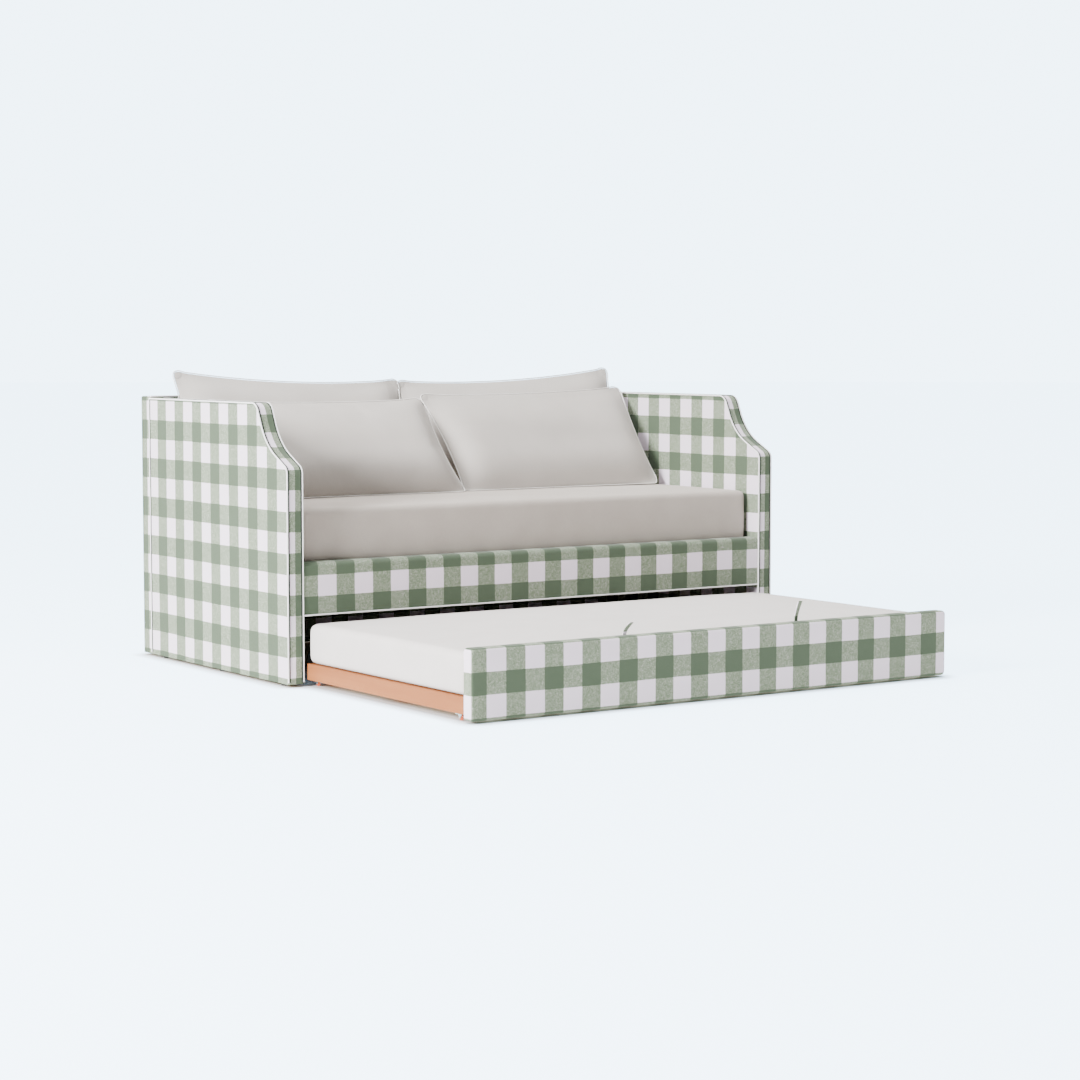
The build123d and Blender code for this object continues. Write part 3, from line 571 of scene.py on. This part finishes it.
def cloth(name, pale, deep):
    """Plain close-woven cloth with soft mottling and a fine weave."""
    finish, tree, shader = new_finish(name, 0.9, sheen=0.1, specular=0.15)
    place = new_node(tree, "TexCoord")
    mottle = new_node(tree, "TexNoise", Scale=9.0, Detail=4)
    speck = new_node(tree, "TexNoise", Scale=420, Detail=2, Roughness=0.7)
    fibre = new_node(tree, "TexNoise", Scale=900, Detail=2)
    bump = new_node(tree, "Bump", Strength=0.25, Distance=0.0005)
    link(tree, place, "Object", mottle, "Vector")
    link(tree, place, "Object", speck, "Vector")
    link(tree, place, "Object", fibre, "Vector")
    half_mottle = math_node(tree, "MULTIPLY", (mottle, "Fac"), 0.5)
    both = math_node(tree, "MULTIPLY_ADD", (speck, "Fac"), 0.5, half_mottle)
    tone = colours(tree, both, ((0.35, (*deep, 1)), (0.65, (*pale, 1))))
    link(tree, tone, "Color", shader, "Base Color")
    link(tree, fibre, "Fac", bump, "Height")
    link(tree, bump, "Normal", shader, "Normal")
    return finish


def subdivide(piece):
    """One level of subdivision, the same in the window and in a render."""
    smooth = piece.modifiers.new("smooth", "SUBSURF")
    smooth.levels = 1
    smooth.render_levels = 1


def round_off(mesh, edges, radius, segments):
    """Rounds some edges of a bmesh."""
    bmesh.ops.bevel(
        mesh,
        geom=edges,
        offset=radius,
        segments=segments,
        affect="EDGES",
        profile=0.5,
        material=-1,
    )


def foam_block(name, node, finish, edge, crown):
    """A block of foam the size of its CAD solid, rounded by edge and lower by crown at its rims."""
    low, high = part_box(node)
    size = high - low
    block = bmesh.new()
    middle = (low + high) / 2
    bmesh.ops.create_cube(block, size=1, matrix=Matrix.LocRotScale(middle, None, size))
    round_off(block, block.edges[:], edge, segments=5)
    for axis in range(3):
        normal = Vector([1 if spot == axis else 0 for spot in range(3)])
        room = size[axis] - 2 * edge
        cuts = max(2, round(room / foam_pitch))
        for cut in range(1, cuts):
            place = low + normal * (edge + room * cut / cuts)
            every = block.verts[:] + block.edges[:] + block.faces[:]
            bmesh.ops.bisect_plane(block, geom=every, plane_co=place, plane_no=normal)
    for vert in block.verts:
        share_x = (vert.co.x - middle.x) / (size.x / 2)
        share_y = (vert.co.y - middle.y) / (size.y / 2)
        lift = (vert.co.z - low.z) / size.z
        dome = (1 - share_x ** 4) * (1 - share_y ** 4)
        sag = noise.noise(vert.co * 3.1) * foam_sag
        vert.co.z += lift * (crown * (dome - 1) + sag)
        belly = math.sin(math.pi * lift)
        if abs(share_y) > foam_side_from:
            vert.co.y += math.copysign(foam_belly, share_y) * (belly - 1)
        if abs(share_x) > foam_end_from:
            vert.co.x += math.copysign(foam_belly, share_x) * (belly - 1)
    block.normal_update()
    piece = new_piece(name, block, finish)
    subdivide(piece)
    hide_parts(node)
    return piece


day_cloth = cloth("day_mattress_cloth", (0.43, 0.385, 0.345), (0.38, 0.335, 0.297))
trundle_cloth = cloth("trundle_mattress_cloth", (0.62, 0.585, 0.565), (0.57, 0.535, 0.515))
day_mattress = foam_block("mattress_day", "day_mattress", day_cloth, 0.022, 0.004)
trundle_mattress = foam_block("mattress_trundle", "trundle_mattress", trundle_cloth, 0.028, 0.016)
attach(day_mattress, "bed")
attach(trundle_mattress, "trundle")


# Pillows
# Four long knife-edged pillows, filled with fibre, lean in pairs on the back and on each other.
# Each is two panels sewn at the rim and turned right side out, and its seam stands as a thin lip.
pillow_height = 0.470
pillow_thickness = 0.130
pillow_cells = (76, 40)
corner_round = 0.042
end_draw = 0.008
foot_draw = 0.004
lip_radius = 0.0021
mattress_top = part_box("day_mattress")[1].z
back_gap = 0.0035
back_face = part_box("back_cover")[0].y - back_gap
foot_gap = 0.0024
fill_pressure = 4
fill_limit = 0.010
fill_frames = 20
dent_depth = 0.07
dent_scale = (2.2, 1.6)
fold_height = 0.0028
fold_pitch = 0.026
fold_bend = 3
fold_bend_scale = 5
fold_reach = (0.06, 0.05)
fold_start = 0.62

# How far in from its edge each side is still filling out, and how soon.
side_fill = (0.17, 3.0)
top_fill = (0.235, 2.1)
foot_fill = (0.18, 2.4)

# Place, top middle, width, turn, lean and roll in degrees, and sag of the top edge.
pillow_rows = (
    ("back_left", (-0.4700, 0.963, 1.0063), 0.924, 0.0, 22.0, -2.2, 0.018),
    ("back_right", (0.4760, 0.932, 1.0023), 0.924, -3.9, 22.0, 2.0, 0.018),
    ("front_left", (-0.4630, 0.775, 0.9163), 0.912, 0.0, 43.0, 0.0, 0.003),
    ("front_right", (0.4700, 0.785, 0.9433), 0.912, 0.5, 38.5, 0.5, 0.006),
)

# Each pull is (end, edge) of a corner and how far it moves along and up.
corner_pulls = {
    "back_left": (((-1, 1), (-0.026, 0.022)), ((1, 1), (0.022, 0.014)), ((1, -1), (0.018, 0.0))),
    "back_right": (((-1, 1), (-0.024, 0.012)), ((1, 1), (0.042, 0.026)), ((1, -1), (0.030, 0.0))),
    "front_left": (((-1, 1), (0.0, 0.026)), ((1, 1), (0.030, 0.018)), ((1, -1), (0.022, 0.0))),
    "front_right": (
        ((-1, 1), (-0.036, 0.008)),
        ((1, 1), (0.026, 0.022)),
        ((1, -1), (-0.004, 0.0)),
        ((-1, -1), (-0.014, 0.0)),
    ),
}


def filled(depth, reach, power):
    """How full the pillow is at a distance from one edge, from 0 at the seam to 1."""
    return 1 - (1 - min(depth / reach, 1)) ** power


def empty_pillow(width, sag, pulls, seed):
    """Two panels joined at the rim, already part filled, lying flat with the top edge towards +y.

    Gives the mesh and the indices of the seam's points in order.
    """
    form = bmesh.new()
    bmesh.ops.create_grid(form, x_segments=pillow_cells[0], y_segments=pillow_cells[1], size=1)
    half = Vector((width / 2, pillow_height / 2, 0))
    for vert in form.verts:
        u, v = vert.co.x, vert.co.y
        x, y = u * half.x, v * half.y
        a = (abs(x) - half.x + corner_round) / corner_round
        b = (abs(y) - half.y + corner_round) / corner_round
        if a > 0 and b > 0:
            round_x = corner_round * a * math.sqrt(1 - b * b / 2)
            round_y = corner_round * b * math.sqrt(1 - a * a / 2)
            x = math.copysign(half.x - corner_round + round_x, x)
            y = math.copysign(half.y - corner_round + round_y, y)
        draw = sag if v > 0 else foot_draw
        depth_x = half.x * (1 - abs(u))
        depth_y = half.y * (1 - abs(v))
        share_y = filled(depth_y, *(top_fill if v > 0 else foot_fill))
        lift = pillow_thickness / 2 * filled(depth_x, *side_fill) * share_y
        dent = 1 + dent_depth * noise.noise(Vector((u * dent_scale[0], v * dent_scale[1], seed)))
        near_corner = max(abs(u) - fold_start, 0) / (1 - fold_start)
        bent = fold_bend * noise.noise(Vector((u * fold_bend_scale, seed, v)))
        folds = fold_height * math.sin(x * 2 * math.pi / fold_pitch + bent) * near_corner
        fading = math.exp(-depth_y / fold_reach[1]) * filled(depth_x, fold_reach[0], 2)
        lift += folds * filled(depth_y, fold_reach[1], 2) * fading
        x -= end_draw * u * (1 - v * v)
        y -= draw * v * (1 - u * u)
        vert.co = Vector((x, y, lift * dent))
        for (end, edge), (pull_x, pull_y) in pulls:
            share = (1 + end * u) * (1 + edge * v) / 4
            vert.co += Vector((pull_x, pull_y, 0)) * share * share
    behind = bmesh.ops.duplicate(form, geom=form.verts[:] + form.edges[:] + form.faces[:])
    for vert in behind["geom"]:
        if isinstance(vert, bmesh.types.BMVert):
            vert.co.z = -vert.co.z
    bmesh.ops.remove_doubles(form, verts=form.verts[:], dist=0.00001)
    bmesh.ops.recalc_face_normals(form, faces=form.faces[:])
    form.verts.index_update()
    rim = sorted(
        (vert for vert in form.verts if abs(vert.co.z) < 0.0000001),
        key=lambda vert: math.atan2(vert.co.y / half.y, vert.co.x / half.x),
    )
    return form, [vert.index for vert in rim]


def puff(piece):
    """Fills a piece like a pillow: it is blown up as cloth, and each point's move is capped."""
    start = [vert.co.copy() for vert in piece.data.vertices]
    blown = piece.modifiers.new("cloth", "CLOTH")
    blown.settings.quality = 5
    blown.settings.use_pressure = True
    blown.settings.uniform_pressure_force = fill_pressure
    blown.settings.effector_weights.gravity = 0
    blown.settings.tension_stiffness = 15
    blown.settings.compression_stiffness = 15
    blown.settings.bending_stiffness = 0.5
    for step in range(1, fill_frames + 1):
        bpy.context.scene.frame_set(step)
    depsgraph = bpy.context.evaluated_depsgraph_get()
    shaped = bpy.data.meshes.new_from_object(piece.evaluated_get(depsgraph))
    piece.modifiers.clear()
    bpy.context.scene.frame_set(1)
    for vert, before in zip(shaped.vertices, start):
        move = vert.co - before
        if move.length > fill_limit:
            vert.co = before + move.normalized() * fill_limit
    piece.data = shaped


# One cloth in two copies: the back pair's is painted lighter for the light it catches and the front
# pair's painted darker for the shade it sits in.
pillow_cloths_painted_light_and_shade = {
    "back": cloth("back_pillow_cloth_painted_light", (0.57, 0.535, 0.50), (0.52, 0.485, 0.45)),
    "front": cloth("front_pillow_cloth_painted_shade", (0.495, 0.46, 0.427), (0.45, 0.417, 0.385)),
}
# Painted highlight: the seam's lip is the pillows' own cloth painted much lighter, so it shows as a
# bright line.
seam_lip_painted_highlight = cloth("pillow_lip_painted_highlight", (0.84, 0.82, 0.79), (0.78, 0.75, 0.72))
for spot, top_middle, width, turn, lean, roll, sag in pillow_rows:
    form, rim = empty_pillow(width, sag, corner_pulls[spot], seed=len(spot) + top_middle[0])
    along = Vector((math.cos(math.radians(turn)), math.sin(math.radians(turn)), 0))
    back = Vector((-along.y, along.x, 0))
    up = back * math.sin(math.radians(lean)) + Vector((0, 0, math.cos(math.radians(lean))))
    rolled = along * math.cos(math.radians(roll)) + up * math.sin(math.radians(roll))
    out = along.cross(up)
    stood = Matrix((rolled, out.cross(rolled), out)).transposed().to_4x4()
    stood.translation = Vector(top_middle) - up * pillow_height / 2
    form.transform(stood)
    row = spot.split("_")[0]
    pillow = new_piece(f"cushion_{spot}", form, pillow_cloths_painted_light_and_shade[row])
    puff(pillow)
    for vert in pillow.data.vertices:
        vert.co.z = max(vert.co.z, mattress_top + foot_gap)
        vert.co.y = min(vert.co.y, back_face)
    for face in pillow.data.polygons:
        face.use_smooth = True
    subdivide(pillow)
    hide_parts(f"pillow_{spot}")
    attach(pillow, "bed")

    lip_data = bpy.data.curves.new(f"lip_{spot}", "CURVE")
    lip_data.dimensions = "3D"
    lip_data.bevel_depth = lip_radius
    lip_data.bevel_resolution = 1
    lip_data.materials.append(seam_lip_painted_highlight)
    seam = lip_data.splines.new("POLY")
    seam.points.add(len(rim) - 1)
    for point, index in zip(seam.points, rim):
        point.co = (*pillow.data.vertices[index].co, 1)
    seam.use_cyclic_u = True
    lip = bpy.data.objects.new(f"lip_{spot}", lip_data)
    bpy.context.scene.collection.objects.link(lip)
    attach(lip, "bed")


# Pull straps
# Two short straps of the same gingham are stapled behind the trundle panel. They stand above its
# top edge and lean to the right.
strap_size = (0.012, 0.003)
strap_cuts = 32
strap_spread = 0.4
strap_straight = 0.12
strap_bend = 1.5
tip_round = 0.0038

# Side, place along x, how far the tip leans and the cloth.
strap_rows = (
    ("left", -0.364, 0.028, gingham("gingham_left_strap", (-0.300, 0, 0.236))),
    ("right", 0.331, 0.019, gingham("gingham_right_strap", (0.300, 0, 0.174))),
)
for side, place, shift, finish in strap_rows:
    low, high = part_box(f"pull_strap_{side}")
    panel_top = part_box("trundle_panel_cover")[1].z
    middle = Vector((place, (low.y + high.y) / 2, (low.z + high.z) / 2))
    size = (strap_size[0], strap_size[1], high.z - low.z)
    strap = bmesh.new()
    bmesh.ops.create_cube(strap, size=1, matrix=Matrix.LocRotScale(middle, None, size))
    tip_edges = [
        edge
        for edge in strap.edges
        if min(vert.co.z for vert in edge.verts) > middle.z
        and abs(edge.verts[0].co.y - edge.verts[1].co.y) > 0.001
    ]
    round_off(strap, tip_edges, tip_round, segments=4)
    for cut in range(1, strap_cuts):
        every = strap.verts[:] + strap.edges[:] + strap.faces[:]
        spot = Vector((0, 0, low.z + size[2] * cut / strap_cuts))
        bmesh.ops.bisect_plane(strap, geom=every, plane_co=spot, plane_no=(0, 0, 1))
    for vert in strap.verts:
        risen = max(vert.co.z - panel_top, 0) / (high.z - panel_top)
        leant = max((risen - strap_straight) / (1 - strap_straight), 0) ** strap_bend
        vert.co.x += (vert.co.x - place) * strap_spread * risen + shift * leant
    strap.normal_update()
    webbing = new_piece(f"webbing_{side}", strap, finish, smooth=False)
    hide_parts(f"pull_strap_{side}")
    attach(webbing, "trundle")
    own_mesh(webbing)
